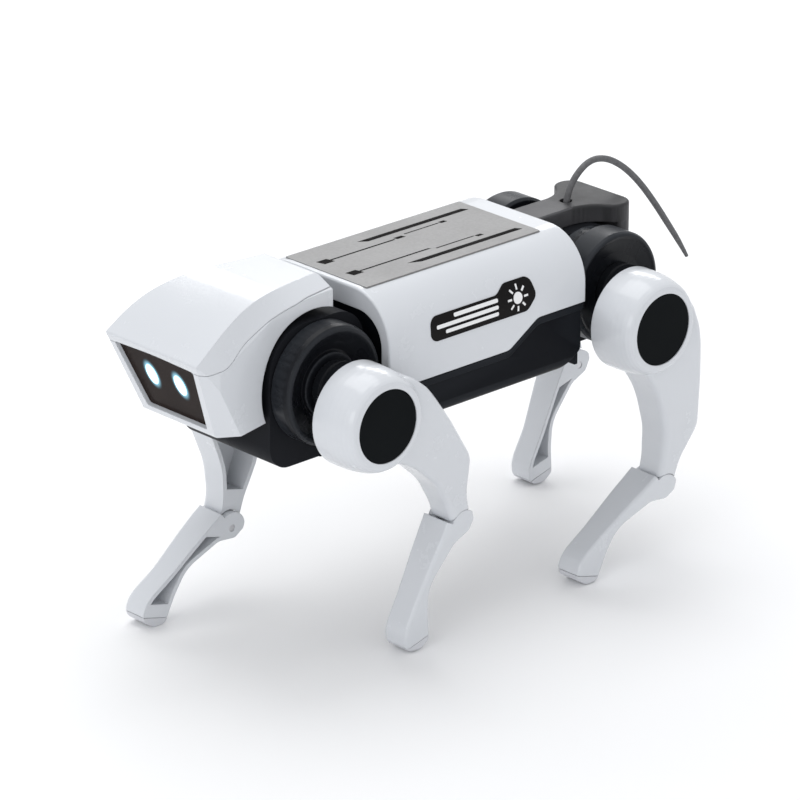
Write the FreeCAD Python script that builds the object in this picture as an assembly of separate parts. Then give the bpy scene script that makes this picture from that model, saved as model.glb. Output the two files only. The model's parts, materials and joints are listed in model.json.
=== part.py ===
import FreeCAD, Part
import math
import os

V = FreeCAD.Vector

# Four-legged walking robot kit.  Millimetres, +Z up, the robot faces -Y and its
# left side is +X.  Shapes are drawn about the mid-point between the hips; every
# node is then moved by CENTRE_SHIFT and GROUND_SHIFT to stand centred on the origin.

# ---- driving dimensions -------------------------------------------------------
CENTRE_SHIFT = 1.27     # moves the drawing frame so the bounding box is centred
GROUND_SHIFT = -1.93    # and so that the feet stand on z = 0
HIP_Z = 99.7            # height of the hip axes in the drawing frame
HIP_Y = 65.0            # half the distance between front and rear hip axes
SWING = 15.0            # leg angle at rest: diagonal pairs are in step

WALL = 1.6              # moulded wall thickness
GAP = 0.3               # air between neighbouring covers

BODY_HALF_W = 33.1      # body shell
BODY_TOP_Z = 124.8
BODY_CORNER_R = 17.0
BODY_FRONT_Y = -44.0
BODY_REAR_Y = 46.0
SHELL_EDGE_FRONT_Z = 93.0
SHELL_EDGE_REAR_Z = 101.2
STEP_FRONT_Y = 10.3     # where the lower edge of the shell starts to rise
STEP_REAR_Y = 23.5
SHELL_FRONT_OPEN_W = 29.4
SHELL_FRONT_OPEN_Z = 117.6

PANEL_HALF_W = 19.6     # panel on the back
PANEL_FRONT_Y = -41.7
PANEL_REAR_Y = 37.4
PANEL_DEPTH = 0.8
PANEL_PROUD = 0.15
BADGE_THICK = 0.25

TRAY_BOTTOM_Z = 77.5
TRAY_LEDGE = 2.6        # band left between the shell edge and the ledge line
TRAY_INSET = 1.3

CELL_R = 7.25           # AA cells
CELL_LEN = 50.5

DRUM_R = 20.5           # front hip drums
DRUM_FACE_X = 30.0
REAR_DRUM_R = 19.6
REAR_DRUM_NECK_R = 17.6
REAR_DRUM_FACE_X = 29.0
FRONT_BOX_W = 21.4      # half widths of the two gearboxes
REAR_BOX_W = 11.9
FRONT_BOX_Y = (-20.5, 20.6)
REAR_BOX_Y = (-18.6, 13.6)
FRONT_BOX_Z = (-27.0, 20.8)
REAR_BOX_Z = (-24.0, 16.5)
FRONT_BOX_R = (16.0, 12.0)   # upper corners of the gearboxes, front and back
REAR_BOX_R = (12.0, 7.0)

HIP_OPENING_R = 16.9

CHIN_SHELF_Y = (-34.7, -19.5)   # shelf that closes the underside of the head
CHIN_SHELF_Z = (-8.8, -7.0)

HUB_R = 9.2
HUB_SHAFT_R = 3.0
RUNNING_FIT = 0.05      # radial clearance of shafts in their bores
SHAFT_END_X = 13.0
ROCKER_X = (13.9, 15.9)
ROCKER_LEN = 11.0

GEAR_MODULE = 0.6
CRANK_TEETH = 30
COMPOUND_BIG_TEETH = 24
COMPOUND_SMALL_TEETH = 10
PINION_TEETH = 8
BACKLASH = 0.14
CRANK_DROP = 11.0       # crank axis below the hip axis
CRANK_THROW = 3.4
CRANK_SHAFT_R = 1.5
AXLE_R = 0.9
MOTOR_RISE = 8.5        # motor axis above the hip axis
MOTOR_R = 7.75
MOTOR_FLAT = 6.0
MOTOR_X = (-13.0, 4.5)

THIGH_CENTRE_Z = -8.0   # centre of the thigh's round head, from the hip axis
THIGH_RIM_X = 36.3
THIGH_RIM_R = 17.7
THIGH_FACE_X = 52.9
THIGH_FACE_R = 14.6
CAP_R = 12.5
KNEE = (28.0, -67.0)    # knee pin, in leg coordinates (y rearward, z up)
KNEE_R = 5.6            # seam radius about the knee pin
KNEE_PIN_R = 1.25
SHIN_STOP_ANGLE = 141.0 # direction from the knee pin of the shin's stop against the thigh
KNEE_SLOT_X = (36.0, 40.0)
SOLE_Z = -97.6          # where the foot pad meets the shin, below the hip axis
SHIN_X = (32.4, 43.6)
SHIN_ROUND = 1.2

HEAD_REAR_Y = -56.6
HEAD_CUT_R = 24.0
HEAD_WALL = 1.8
BROW = (-117.0, 117.7)  # top front edge of the face (y, z)
CHIN = (-105.3, 89.3)

EYE_X = 6.9             # eyes, either side of the middle of the face
EYE_DROP = 13.5         # below the brow, along the face
EYE_HALF = (2.5, 4.1)

TAIL_R = 1.15


# ---- drawing helpers ----------------------------------------------------------
def box(x0, x1, y0, y1, z0, z1):
    return Part.makeBox(x1 - x0, y1 - y0, z1 - z0, V(x0, y0, z0))


def rod_x(radius, x0, x1, y=0.0, z=0.0):
    return Part.makeCylinder(radius, x1 - x0, V(x0, y, z), V(1, 0, 0))


def rod_y(radius, y0, y1, x, z):
    return Part.makeCylinder(radius, y1 - y0, V(x, y0, z), V(0, 1, 0))


def rod_z(radius, z0, z1, x, y):
    return Part.makeCylinder(radius, z1 - z0, V(x, y, z0), V(0, 0, 1))


def rounded_wire(points):
    """Closed wire through (a, b, radius) corners, each rounded by a true arc."""
    count = len(points)
    corners = [V(p[0], p[1], 0) for p in points]
    starts, ends, middles = [], [], []
    for i in range(count):
        here = corners[i]
        back = (corners[i - 1] - here).normalize()
        ahead = (corners[(i + 1) % count] - here).normalize()
        radius = points[i][2] if len(points[i]) > 2 else 0.0
        if radius <= 0:
            starts.append(here)
            ends.append(here)
            middles.append(None)
            continue
        half = back.getAngle(ahead) / 2.0
        reach = radius / math.tan(half)
        centre = here + (back + ahead).normalize() * (radius / math.sin(half))
        starts.append(here + back * reach)
        ends.append(here + ahead * reach)
        middles.append(centre + (here - centre).normalize() * radius)
    edges = []
    for i in range(count):
        if middles[i] is not None:
            edges.append(Part.Arc(starts[i], middles[i], ends[i]).toShape())
        following = starts[(i + 1) % count]
        if ends[i].distanceToPoint(following) > 1e-6:
            edges.append(Part.LineSegment(ends[i], following).toShape())
    return Part.Wire(edges)


def turned(shape, matrix_rows):
    matrix = FreeCAD.Matrix(*[value for row in matrix_rows for value in row])
    copy = shape.copy()
    copy.transformShape(matrix, False, False)
    return copy


def prism_x(wire, x0, x1):
    """Extrude a (y, z) outline from x0 to x1."""
    solid = Part.Face(wire).extrude(V(0, 0, x1 - x0))
    return turned(solid, [(0, 0, 1, x0), (1, 0, 0, 0), (0, 1, 0, 0), (0, 0, 0, 1)])


def prism_y(wire, y0, y1):
    """Extrude an (x, z) outline from y0 to y1."""
    solid = Part.Face(wire).extrude(V(0, 0, y1 - y0))
    # (a, b, h) -> (a, y1 - h, b) keeps the shape right-handed
    return turned(solid, [(1, 0, 0, 0), (0, 0, -1, y1), (0, 1, 0, 0), (0, 0, 0, 1)])


def prism_z(wire, z0, z1):
    """Extrude an (x, y) outline from z0 to z1."""
    solid = Part.Face(wire).extrude(V(0, 0, z1 - z0))
    solid.translate(V(0, 0, z0))
    return solid


def revolve_x(points, y=0.0, z=0.0):
    """Turn an (x, radius) outline about the X axis through (y, z)."""
    ring = [V(p[0], p[1], 0) for p in points]
    face = Part.Face(Part.makePolygon(ring + [ring[0]]))
    solid = face.revolve(V(0, 0, 0), V(1, 0, 0), 360)
    solid.translate(V(0, y, z))
    return solid


def inset(wire, distance):
    return wire.makeOffset2D(-distance)


def mirror_x(shape):
    return shape.mirror(V(0, 0, 0), V(1, 0, 0))


def both_sides(shape):
    return [shape, mirror_x(shape)]


def fillet_edges(shape, radius, wanted):
    edges = [edge for edge in shape.Edges if wanted(edge)]
    return shape.makeFillet(radius, edges)


def save(name, *shapes):
    solids = []
    for shape in shapes:
        solids.extend(shape.removeSplitter().Solids)
    result = solids[0] if len(solids) == 1 else Part.makeCompound(solids)
    result = result.copy()
    result.translate(V(0, CENTRE_SHIFT, GROUND_SHIFT))
    result.exportStep("parts/" + name + ".step")


# ---- body: shell, panel, badges, tray ----------------------------------------
def arch_wire(half_width, top, corner, bottom):
    return rounded_wire([
        (-half_width, bottom), (half_width, bottom),
        (half_width, top, corner), (-half_width, top, corner)])


def shell_edge_wire(drop, y0, y1, top):
    """Side view of everything above the shell's stepped lower edge."""
    low = SHELL_EDGE_FRONT_Z - drop
    high = SHELL_EDGE_REAR_Z - drop
    return rounded_wire([
        (y0, low), (STEP_FRONT_Y, low, 5), (STEP_REAR_Y, high, 5),
        (y1, high), (y1, top), (y0, top)])


def panel_outline(margin):
    return rounded_wire([
        (-PANEL_HALF_W - margin, PANEL_FRONT_Y - margin, 0.6),
        (PANEL_HALF_W + margin, PANEL_FRONT_Y - margin, 0.6),
        (PANEL_HALF_W + margin, PANEL_REAR_Y + margin, 0.6),
        (-PANEL_HALF_W - margin, PANEL_REAR_Y + margin, 0.6)])


def body_shell():
    outer = prism_y(arch_wire(BODY_HALF_W, BODY_TOP_Z, BODY_CORNER_R, 60), BODY_FRONT_Y, BODY_REAR_Y)
    rim = [edge for edge in outer.Edges
           if edge.BoundBox.YLength < 0.01 and edge.BoundBox.ZMax > 70]
    outer = outer.makeFillet(0.8, rim)
    inner = prism_y(arch_wire(BODY_HALF_W - 1.8, BODY_TOP_Z - 1.8, BODY_CORNER_R - 1.8, 50),
                    BODY_FRONT_Y + 2.2, BODY_REAR_Y + 1)
    front_opening = prism_y(
        rounded_wire([(-SHELL_FRONT_OPEN_W, 50), (SHELL_FRONT_OPEN_W, 50),
                      (SHELL_FRONT_OPEN_W, SHELL_FRONT_OPEN_Z, 11),
                      (-SHELL_FRONT_OPEN_W, SHELL_FRONT_OPEN_Z, 11)]),
        BODY_FRONT_Y - 1, BODY_FRONT_Y + 5)
    above = prism_x(shell_edge_wire(0, BODY_FRONT_Y - 2, BODY_REAR_Y + 2, 140), -40, 40)
    recess = prism_z(panel_outline(0.05), BODY_TOP_Z - PANEL_DEPTH, BODY_TOP_Z + 5)
    return outer.cut(inner).cut(front_opening).common(above).cut(recess)


def solar_panel():
    plate = prism_z(panel_outline(0), BODY_TOP_Z - PANEL_DEPTH, BODY_TOP_Z + PANEL_PROUD)
    return plate.cut(Part.makeCompound(panel_traces(0.02)))


def panel_point(u, v):
    """u runs from the right edge to the left edge, v from front to rear."""
    return (-PANEL_HALF_W + 2 * PANEL_HALF_W * u,
            PANEL_FRONT_Y + (PANEL_REAR_Y - PANEL_FRONT_Y) * v)


def trace_bar(u, v0, v1, width, slant0, slant1, grow):
    x, y0 = panel_point(u, v0)
    y1 = panel_point(u, v1)[1]
    left = x - width / 2 - grow
    right = x + width / 2 + grow
    wire = rounded_wire([(left, y0 - grow), (right, y0 + slant0 - grow),
                         (right, y1 + slant1 + grow), (left, y1 + grow)])
    return prism_z(wire, BODY_TOP_Z - 0.25 - grow, BODY_TOP_Z + PANEL_PROUD + 0.03)


def panel_traces(grow=0.0):
    bars = [
        trace_bar(0.175, 0.34, 0.94, 2.1, 3.0, 1.6, grow),
        trace_bar(0.32, 0.050, 0.105, 3.4, 0.8, 0.8, grow),
        trace_bar(0.32, 0.112, 0.475, 0.7, 0, 0, grow),
        trace_bar(0.31, 0.48, 0.525, 1.6, 0.6, 0.6, grow),
        trace_bar(0.277, 0.55, 0.745, 0.5, 0, 0, grow),
        trace_bar(0.277, 0.752, 0.785, 1.4, 0.5, 0.5, grow),
        trace_bar(0.68, 0.050, 0.105, 3.4, 0.8, 0.8, grow),
        trace_bar(0.68, 0.112, 0.50, 0.7, 0, 1.0, grow),
        trace_bar(0.715, 0.53, 0.747, 0.5, 0, 0, grow),
        trace_bar(0.73, 0.752, 0.785, 1.4, 0.5, 0.5, grow),
        trace_bar(0.84, 0.32, 0.94, 2.1, 4.5, 1.6, grow),
    ]
    return bars


def shell_skin(inner, outer):
    """Thin skin that follows the outside of the body shell, between two offsets."""
    def arch(offset):
        return prism_y(arch_wire(BODY_HALF_W + offset, BODY_TOP_Z + offset,
                                 BODY_CORNER_R + offset, 60), BODY_FRONT_Y, BODY_REAR_Y)
    return arch(outer).cut(arch(inner))


def side_badge():
    """Rounded plate, bent to the shell's curve, that carries the marks."""
    outline = rounded_wire([(-25.5, 105.0, 3.2), (18.5, 105.0, 3.2), (22.5, 109.5, 3.2),
                            (20.5, 116.4, 3.2), (9.0, 116.4, 4.0), (5.0, 113.6, 4.0),
                            (-25.5, 113.6, 3.2)])
    return prism_x(outline, 20, 40).common(shell_skin(0, BADGE_THICK))


def badge_marks():
    """A generic sun and three bars in place of any lettering."""
    marks = [rod_x(2.0, 20, 40, 14.0, 110.6)]
    for step in range(8):
        ray = box(20, 40, -0.35, 0.35, 2.8, 4.6)
        ray.rotate(V(0, 0, 0), V(1, 0, 0), step * 45.0)
        ray.translate(V(0, 14.0, 110.6))
        marks.append(ray)
    for row, length in enumerate((24.0, 28.0, 20.0)):
        y1 = 5.0
        z = 106.8 + row * 2.3
        wire = rounded_wire([(y1 - length, z, 0.5), (y1, z, 0.5),
                             (y1, z + 1.3, 0.5), (y1 - length, z + 1.3, 0.5)])
        marks.append(prism_x(wire, 20, 40))
    skin = shell_skin(BADGE_THICK, BADGE_THICK + 0.12)
    return [mark.common(skin) for mark in marks]


def tray_side_wire(grow):
    return rounded_wire([
        (BODY_FRONT_Y + 0.4 + grow, TRAY_BOTTOM_Z + grow),
        (36.0 - grow, TRAY_BOTTOM_Z + grow, 6),
        (BODY_REAR_Y - 1.1 - grow, TRAY_BOTTOM_Z + 6.5 + grow, 2.5),
        (BODY_REAR_Y - 1.1 - grow, 120), (BODY_FRONT_Y + 0.4 + grow, 120)])


def chassis_tray():
    band = prism_y(rounded_wire([(-BODY_HALF_W + 0.1, 60), (BODY_HALF_W - 0.1, 60),
                                 (BODY_HALF_W - 0.1, 120), (-BODY_HALF_W + 0.1, 120)]),
                   BODY_FRONT_Y, BODY_REAR_Y)
    below_edge = prism_x(shell_edge_wire(0.25, BODY_FRONT_Y - 2, BODY_REAR_Y + 2, 140), -40, 40)
    above_ledge = prism_x(shell_edge_wire(TRAY_LEDGE, BODY_FRONT_Y - 2, BODY_REAR_Y + 2, 140), -40, 40)
    low_w = BODY_HALF_W - TRAY_INSET
    hull = prism_y(rounded_wire([(-low_w, TRAY_BOTTOM_Z, 5), (low_w, TRAY_BOTTOM_Z, 5),
                                 (low_w, 120), (-low_w, 120)]), BODY_FRONT_Y, BODY_REAR_Y)
    side = prism_x(tray_side_wire(0), -40, 40)
    outer = hull.fuse(band.common(above_ledge)).common(side).cut(below_edge)
    inner_w = low_w - 2.0
    cavity = prism_y(rounded_wire([(-inner_w, TRAY_BOTTOM_Z + 2.0, 3.5), (inner_w, TRAY_BOTTOM_Z + 2.0, 3.5),
                                   (inner_w, 130), (-inner_w, 130)]), BODY_FRONT_Y, BODY_REAR_Y)
    cavity = cavity.common(prism_x(tray_side_wire(2.0), -40, 40))
    tray = outer.cut(cavity)
    # end walls that close the shell behind the gearboxes
    for y in (BODY_FRONT_Y + 2.6, BODY_REAR_Y - 3.0):
        wall = prism_y(arch_wire(BODY_HALF_W - 2.1, BODY_TOP_Z - 2.1, BODY_CORNER_R - 2.1, 60), y, y + 1.4)
        tray = tray.fuse(wall.common(box(-40, 40, -60, 60, TRAY_BOTTOM_Z + 1, 130)))
    door_hole = box(-18.2, 18.2, -31.2, 25.2, TRAY_BOTTOM_Z - 1, TRAY_BOTTOM_Z + 3)
    switch_hole = box(22.0, 26.0, -8.0, 4.0, TRAY_BOTTOM_Z - 1, TRAY_BOTTOM_Z + 3)
    tray = tray.cut(door_hole).cut(switch_hole)
    for x, y in SCREW_PLACES:
        tray = tray.cut(rod_z(2.2, TRAY_BOTTOM_Z - 1, TRAY_BOTTOM_Z + 1.0, x, y))
        tray = tray.cut(rod_z(1.0, TRAY_BOTTOM_Z - 1, TRAY_BOTTOM_Z + 4, x, y))
    return tray


SCREW_PLACES = [(side * 25.0, y) for side in (-1, 1) for y in (-36.0, 30.0)]


def battery_door():
    plate = box(-18.0, 18.0, -31.0, 25.0, TRAY_BOTTOM_Z + 0.1, TRAY_BOTTOM_Z + 1.7)
    arrow = prism_z(rounded_wire([(-4, 14), (4, 14), (0, 20)]), TRAY_BOTTOM_Z - 1, TRAY_BOTTOM_Z + 0.6)
    for row in range(5):
        y = 8.0 - row * 2.6
        plate = plate.cut(box(-7, 7, y, y + 1.1, TRAY_BOTTOM_Z - 1, TRAY_BOTTOM_Z + 0.7))
    return plate.cut(arrow)


def battery_cells():
    cells = []
    z = TRAY_BOTTOM_Z + 2.2 + CELL_R
    for side, turn in ((-1, 1), (1, -1)):
        x = side * 8.2
        y0 = -28.2
        body = rod_y(CELL_R, y0, y0 + CELL_LEN - 1.2, x, z)
        nub_y = y0 + CELL_LEN - 1.2 if turn > 0 else y0 - 1.0
        cells.append(body.fuse(rod_y(2.7, nub_y, nub_y + 1.0, x, z)))
    return cells


def battery_contacts():
    z = TRAY_BOTTOM_Z + 2.2 + CELL_R
    strips = [box(-14, 14, -31.6, -30.9, z - 6, z + 6), box(-14, 14, 23.8, 24.5, z - 6, z + 6)]
    return strips


def circuit_board():
    board = box(-22.0, 22.0, -20.0, 30.0, 97.6, 99.2)
    chip = box(-5, 5, -4, 6, 99.2, 101.0)
    drum = rod_z(3.0, 99.2, 106.0, 14, 22)
    plug = box(-16, -8, -18, -12, 99.2, 104.0)
    return board.fuse(chip).fuse(drum).fuse(plug)


def power_switch():
    slider = box(22.6, 25.4, -4.2, 0.2, TRAY_BOTTOM_Z + 0.2, TRAY_BOTTOM_Z + 5.0)
    for row in range(3):
        y = -3.5 + row * 1.3
        slider = slider.cut(box(22, 26, y, y + 0.5, TRAY_BOTTOM_Z - 1, TRAY_BOTTOM_Z + 0.6))
    return slider


def chassis_screws():
    screws = []
    for x, y in SCREW_PLACES:
        head = rod_z(2.1, TRAY_BOTTOM_Z + 0.2, TRAY_BOTTOM_Z + 1.0, x, y)
        shank = rod_z(0.98, TRAY_BOTTOM_Z + 1.0, TRAY_BOTTOM_Z + 6.0, x, y)
        cross = box(x - 1.2, x + 1.2, y - 0.25, y + 0.25, TRAY_BOTTOM_Z - 1, TRAY_BOTTOM_Z + 0.55)
        cross = cross.fuse(box(x - 0.25, x + 0.25, y - 1.2, y + 1.2, TRAY_BOTTOM_Z - 1, TRAY_BOTTOM_Z + 0.55))
        screws.append(head.fuse(shank).cut(cross))
    return screws


# ---- head ---------------------------------------------------------------------
def head_side_wire():
    """Side view (y, z) of the head, brow to neck."""
    return rounded_wire([
        (BROW[0], BROW[1], 0.8), (CHIN[0], CHIN[1], 0.8), (-84.0, 90.8),
        (-50.0, 90.8), (HEAD_REAR_Y, 110.0), (HEAD_REAR_Y, 132.0, 1.0),
        (-84.0, 132.0, 60), (-99.5, 128.6, 50), (-109.5, 122.8, 60)])


def head_plan_wire(shrink):
    half = 22.6 - shrink
    return rounded_wire([
        (-19.9 + shrink, -50), (-20.4 + shrink, -80, 60), (-24.0 + shrink, -108.5, 2.5),
        (-half, BROW[0] - 1 + shrink, 1.0), (half, BROW[0] - 1 + shrink, 1.0),
        (24.0 - shrink, -108.5, 2.5), (20.4 - shrink, -80, 60), (19.9 - shrink, -50)])


HEAD_STATIONS = [
    # (y, crease half width, crease z, shoulder half width, shoulder z)
    (-50.0, 12.3, 132.0, 19.9, 128.6),
    (-67.0, 13.4, 132.0, 20.1, 127.9),
    (-80.0, 15.6, 132.0, 20.6, 126.0),
    (-92.0, 17.7, 131.0, 21.6, 121.8),
    (-103.0, 20.2, 127.2, 23.2, 116.6),
    (-112.0, 21.6, 121.6, 24.0, 112.8),
    (-121.0, 22.6, 114.6, 25.0, 108.0),
]


def shoulder_cutter(side, shrink):
    """Solid that lies outside the bevel running along the top edge of the head."""
    wires = []
    for y, crease_w, crease_z, shoulder_w, shoulder_z in HEAD_STATIONS:
        rise = 0.42 * (shoulder_w - crease_w)
        run = (crease_w - shoulder_w, crease_z - shoulder_z)
        top = (crease_w - shrink + run[0], crease_z - shrink + run[1])
        low = (shoulder_w - shrink - run[0], shoulder_z - shrink - run[1])
        corners = [top, low, (shoulder_w + 25, low[1]), (shoulder_w + 25, top[1] + rise)]
        ring = [V(side * a, y, b) for a, b in corners]
        wires.append(Part.makePolygon(ring + [ring[0]]))
    return Part.makeLoft(wires, True, False)


def head_solid(shrink):
    side = head_side_wire()
    if shrink:
        side = inset(side, shrink)
    solid = prism_x(side, -40, 40).common(prism_z(head_plan_wire(shrink), 60, 160))
    for hand in (-1, 1):
        solid = solid.cut(shoulder_cutter(hand, shrink))
    # corner planes between the face and the cheeks
    brow_corner = V(22.0, BROW[0], BROW[1])
    chin_corner = V(17.5, CHIN[0], CHIN[1])
    cheek_corner = V(22.0, -100.0, 89.7)
    outward = (cheek_corner - chin_corner).cross(brow_corner - chin_corner).normalize()
    corner = Part.makeBox(80, 80, 30, V(-40, -40, -shrink))
    corner.Placement = FreeCAD.Placement(chin_corner, FreeCAD.Rotation(V(0, 0, 1), outward))
    return solid.cut(corner).cut(mirror_x(corner))


def face_frame(shape):
    """Move a shape drawn in face coordinates (x, up, outward) onto the face."""
    run_y = BROW[0] - CHIN[0]
    run_z = BROW[1] - CHIN[1]
    length = math.hypot(run_y, run_z)
    up_y = run_y / length
    up_z = run_z / length
    return turned(shape, [(1, 0, 0, 0), (0, up_y, -up_z, BROW[0]), (0, up_z, up_y, BROW[1]), (0, 0, 0, 1)])


def face_outline(margin):
    return rounded_wire([
        (-19.2 + margin, -2.9 - margin, 1.0), (0, -2.1 - margin, 150), (19.2 - margin, -2.9 - margin, 1.0),
        (14.6 - margin, -28.2 + margin, 1.0), (-14.6 + margin, -28.2 + margin, 1.0)])


def eye_oval(x, grow, n0, n1):
    oval = Part.Ellipse(V(x, -EYE_DROP, 0), EYE_HALF[1] + grow, EYE_HALF[0] + grow)
    wire = Part.Wire([oval.toShape()])
    wire.rotate(V(x, -EYE_DROP, 0), V(0, 0, 1), 90)
    solid = Part.Face(wire).extrude(V(0, 0, n1 - n0))
    solid.translate(V(0, 0, n0))
    return solid


def head_parts():
    shell = head_solid(0).cut(head_solid(HEAD_WALL))
    shell = shell.cut(rod_x(HEAD_CUT_R, -40, 40, -HIP_Y, HIP_Z))
    shell = shell.cut(box(-40, 40, -HIP_Y, -40, 60, HIP_Z + 20))
    # open on the underside behind the chin
    shell = shell.cut(box(-18.0, 18.0, -100, -60, 80, 95))
    face_wall = prism_z(rounded_wire([(-25, 0), (25, 0), (25, -31), (-25, -31)]), -3.2, 0)
    face_wall = face_frame(face_wall).common(head_solid(0))
    shell = shell.fuse(face_wall)
    window = face_frame(prism_z(face_outline(0), -6, 2))
    shell = shell.cut(window)
    seam = rounded_wire([
        (-125, 116.2), (-113, 114.3), (-105, 114.6, 10), (-97, 120.2, 20), (-84, 125.2, 40),
        (-68, 128.1, 40), (-50, 129.2), (-50, 150), (-125, 150)])
    above = prism_x(seam, -40, 40)
    top = shell.common(above)
    side = shell.cut(prism_x(seam, -40, 40).fuse(prism_x(seam, -40, 40).translated(V(0, 0, -0.12))))
    return top, side


def face_plate():
    plate = prism_z(face_outline(0.08), -3.0, -1.4)
    for x in (-EYE_X, EYE_X):
        plate = plate.cut(eye_oval(x, 0.05, -2.2, 0))
    return face_frame(plate)


def eye_lenses():
    return [face_frame(eye_oval(x, 0, -2.2, -1.25)) for x in (-EYE_X, EYE_X)]


def eye_board():
    board = prism_z(rounded_wire([(-12, -7, 1), (12, -7, 1), (12, -19, 1), (-12, -19, 1)]), -6.8, -5.6)
    for x in (-EYE_X, EYE_X):
        lamp = Part.makeCylinder(1.5, 1.9, V(x, -EYE_DROP, -5.6), V(0, 0, 1))
        board = board.fuse(lamp)
    return face_frame(board)


# ---- gearboxes, drums and drive ------------------------------------------------
def box_wire(y_span, z_span, upper_r, shrink):
    front, back = y_span
    low, high = z_span
    wire = rounded_wire([
        (front, low, 8), (back, low, 8), (back, high, upper_r[1]), (front, high, upper_r[0])])
    return inset(wire, shrink) if shrink else wire


def gearbox_half(half_width, y_span, z_span, upper_r, hand, hip_y, bosses):
    outer = prism_x(box_wire(y_span, z_span, upper_r, 0), 0.05, half_width)
    inner = prism_x(box_wire(y_span, z_span, upper_r, WALL), -1, half_width + 1)
    half = outer.cut(inner)
    plate_x = (2.4, 4.2) if hand > 0 else (7.0, 9.0)
    plate = prism_x(box_wire(y_span, z_span, upper_r, WALL / 2), plate_x[0], plate_x[1])
    ceiling = MOTOR_RISE - MOTOR_FLAT - 0.2
    plate = plate.common(box(-50, 50, -50, 50, -50, ceiling))
    plate = plate.cut(rod_x(CRANK_SHAFT_R + RUNNING_FIT, -5, 20, 0, -CRANK_DROP))
    half = half.fuse(plate)
    for y, z in bosses:
        boss = rod_x(3.4, 4.0, half_width, y, z).cut(inner)
        half = half.fuse(boss).cut(rod_x(1.6, half_width - 1.5, half_width + 1, y, z))
    if hip_y < 0:
        # outer side wall, open around the hip axis so that the rocker can be fitted
        cheek = prism_x(box_wire(y_span, z_span, upper_r, WALL / 2), half_width - 1.5, half_width)
        half = half.fuse(cheek.cut(rod_x(HIP_OPENING_R, half_width - 2, half_width + 1)))
        half = half.fuse(box(0.05, 17.7, CHIN_SHELF_Y[0], CHIN_SHELF_Y[1], CHIN_SHELF_Z[0], CHIN_SHELF_Z[1]))
    if hand > 0:
        side_y, side_z = compound_place(hip_y)
        half = half.cut(rod_x(AXLE_R, -5, 20, side_y, side_z))
    if hand < 0:
        half = mirror_x(half)
    half.translate(V(0, hip_y, HIP_Z))
    return half


def front_drum():
    face = DRUM_FACE_X
    inner = FRONT_BOX_W + 0.1
    return revolve_x([
        (inner, DRUM_R - 0.6), (inner + 0.6, DRUM_R), (face - 2.4, DRUM_R), (face - 0.9, DRUM_R - 0.35),
        (face - 0.2, DRUM_R - 1.0), (face, DRUM_R - 1.9), (face - 0.35, DRUM_R - 2.7),
        (face - 2.3, 14.6), (face - 3.6, 11.8), (face - 3.6, 11.2), (face - 2.2, 11.0),
        (face - 1.9, 10.6), (face - 2.0, HUB_SHAFT_R + 1.6), (face - 2.2, HUB_SHAFT_R + RUNNING_FIT),
        (face - 8.0, HUB_SHAFT_R + RUNNING_FIT), (face - 8.0, 6.0), (face - 5.4, 7.4),
        (face - 5.4, 13.0), (inner, 18.4)])


def rear_drum():
    face = REAR_DRUM_FACE_X
    inner = REAR_BOX_W + 0.1
    neck = REAR_DRUM_NECK_R
    return revolve_x([
        (inner, neck - 0.5), (inner + 0.5, neck), (inner + 4.6, neck), (inner + 5.4, neck - 0.8),
        (inner + 6.0, neck - 0.8), (inner + 6.1, REAR_DRUM_R - 0.9), (inner + 7.0, REAR_DRUM_R),
        (face - 1.3, REAR_DRUM_R), (face - 0.35, REAR_DRUM_R - 0.5), (face, REAR_DRUM_R - 1.4),
        (face - 0.5, 17.2), (face - 1.6, 12.4), (face - 1.6, HUB_SHAFT_R + RUNNING_FIT),
        (face - 7.0, HUB_SHAFT_R + RUNNING_FIT), (face - 7.0, 6.0), (face - 3.6, 7.4),
        (face - 3.6, 17.6), (inner + 7.6, 17.6), (inner + 7.6, 15.6), (inner, 15.6)])


def place_drum(shape, hand, hip_y):
    copy = shape.copy() if hand > 0 else mirror_x(shape)
    copy.translate(V(0, hip_y, HIP_Z))
    return copy


def involute(angle):
    return math.tan(angle) - angle


def gear(teeth, x0, x1, y, z, tooth_angle, bore):
    """Spur gear about an X axis; tooth_angle is the direction of one tooth's centre."""
    pitch_r = GEAR_MODULE * teeth / 2.0
    pressure = math.radians(20)
    base_r = pitch_r * math.cos(pressure)
    tip_r = pitch_r + 0.85 * GEAR_MODULE
    root_r = pitch_r - 1.2 * GEAR_MODULE
    half_pitch = math.pi / (2 * teeth) - BACKLASH / (2 * pitch_r)
    flank = []
    for step in range(5):
        radius = max(base_r, root_r) + (tip_r - max(base_r, root_r)) * step / 4.0
        roll = math.acos(min(1.0, base_r / radius))
        flank.append((radius, half_pitch + involute(pressure) - involute(roll)))
    if root_r < base_r:
        flank.insert(0, (root_r, flank[0][1]))
    ring = []
    for tooth in range(teeth):
        centre = tooth_angle + 2 * math.pi * tooth / teeth
        side = [(r, centre - a) for r, a in flank] + [(r, centre + a) for r, a in reversed(flank)]
        ring.extend([V(r * math.cos(t), r * math.sin(t), 0) for r, t in side])
    solid = prism_x(Part.makePolygon(ring + [ring[0]]), x0, x1)
    solid = solid.cut(rod_x(bore, x0 - 1, x1 + 1)) if bore else solid
    solid.translate(V(0, y, z))
    return solid


def compound_place(hip_y):
    """Axis of the compound gear, relative to the hip: meshes with pinion and crank gear."""
    to_pinion = GEAR_MODULE * (PINION_TEETH + COMPOUND_BIG_TEETH) / 2.0
    to_crank = GEAR_MODULE * (COMPOUND_SMALL_TEETH + CRANK_TEETH) / 2.0
    span = MOTOR_RISE + CRANK_DROP
    down = (to_pinion ** 2 - to_crank ** 2 + span ** 2) / (2 * span)
    out = math.sqrt(to_pinion ** 2 - down ** 2)
    toward_body = 1.0 if hip_y < 0 else -1.0
    return toward_body * out, MOTOR_RISE - down


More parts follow.
